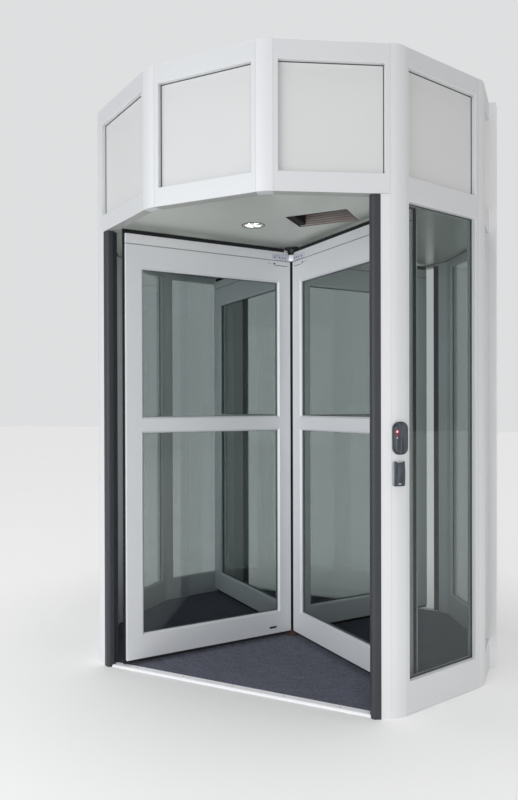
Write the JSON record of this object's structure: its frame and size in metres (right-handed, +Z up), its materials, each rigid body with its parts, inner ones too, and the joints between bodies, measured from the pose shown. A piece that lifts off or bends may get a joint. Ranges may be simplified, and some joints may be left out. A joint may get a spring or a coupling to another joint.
{
  "type": "revolving door",
  "caption": "Revolving door: a faceted aluminium drum with glazed side walls and a panelled canopy, and a rotor of glazed wings on a centre shaft.",
  "frame": {"origin": "on the floor, at the middle of the drum, on the rotor's axis", "axes": "+Z up along the rotor's axis, -Y towards the outside of the building, +X to the right of a person who walks in"},
  "size_m": [2.094, 2.03, 2.7],
  "materials": {
    "frame_metal": "satin",
    "wing_metal": "satin",
    "panel_metal": "satin",
    "soffit_metal": "satin",
    "roof_metal": "matte",
    "recess_metal": "matte",
    "threshold_metal": "satin",
    "hub_steel": "satin",
    "dark_metal": "satin",
    "pivot_metal": "matte",
    "bumper_rubber": "matte",
    "brush_bristle": "matte",
    "mat_fabric": "matte",
    "glass": "gloss",
    "light_lens": "gloss",
    "housing_plastic": "gloss"
  },
  "bodies": {
    "drum": {"jamb_post_front_right": "frame_metal", "jamb_bumper_front_right": "bumper_rubber", "jamb_post_front_left": "frame_metal", "jamb_bumper_front_left": "bumper_rubber", "jamb_post_back_right": "frame_metal", "jamb_bumper_back_right": "bumper_rubber", "jamb_post_back_left": "frame_metal", "jamb_bumper_back_left": "bumper_rubber", "wall_posts": "frame_metal", "canopy_posts": "frame_metal", "wall_frame_right_front": "frame_metal", "wall_frame_right_middle": "frame_metal", "wall_frame_right_back": "frame_metal", "wall_glass_right": "glass", "facade_jamb_right": "frame_metal", "wall_frame_left_front": "frame_metal", "wall_frame_left_middle": "frame_metal", "wall_frame_left_back": "frame_metal", "wall_glass_left": "glass", "facade_jamb_left": "frame_metal", "canopy_frames": "frame_metal", "canopy_panels": "panel_metal", "soffit": "soffit_metal", "ceiling_recess": "recess_metal", "downlights": "light_lens", "roof_cover": "roof_metal", "top_bearing": "dark_metal", "floor_mat": "mat_fabric", "threshold_front": "threshold_metal", "threshold_back": "threshold_metal", "floor_pivot": "pivot_metal", "card_reader": "housing_plastic", "key_switch": "housing_plastic"},
    "rotor": {"centre_shaft": "dark_metal", "hub": "hub_steel", "wing_1_frame": "wing_metal", "wing_1_glass": "glass", "wing_2_frame": "wing_metal", "wing_2_glass": "glass", "wing_3_frame": "wing_metal", "wing_3_glass": "glass", "wing_4_frame": "wing_metal", "wing_4_glass": "glass", "wing_brushes": "brush_bristle"}
  },
  "joints": [
    {"name": "rotor_spin", "type": "hinge", "parent": "drum", "child": "rotor", "pos_m": [0, 0, 0], "axis": [0, 0, 1], "continuous": true}
  ]
}
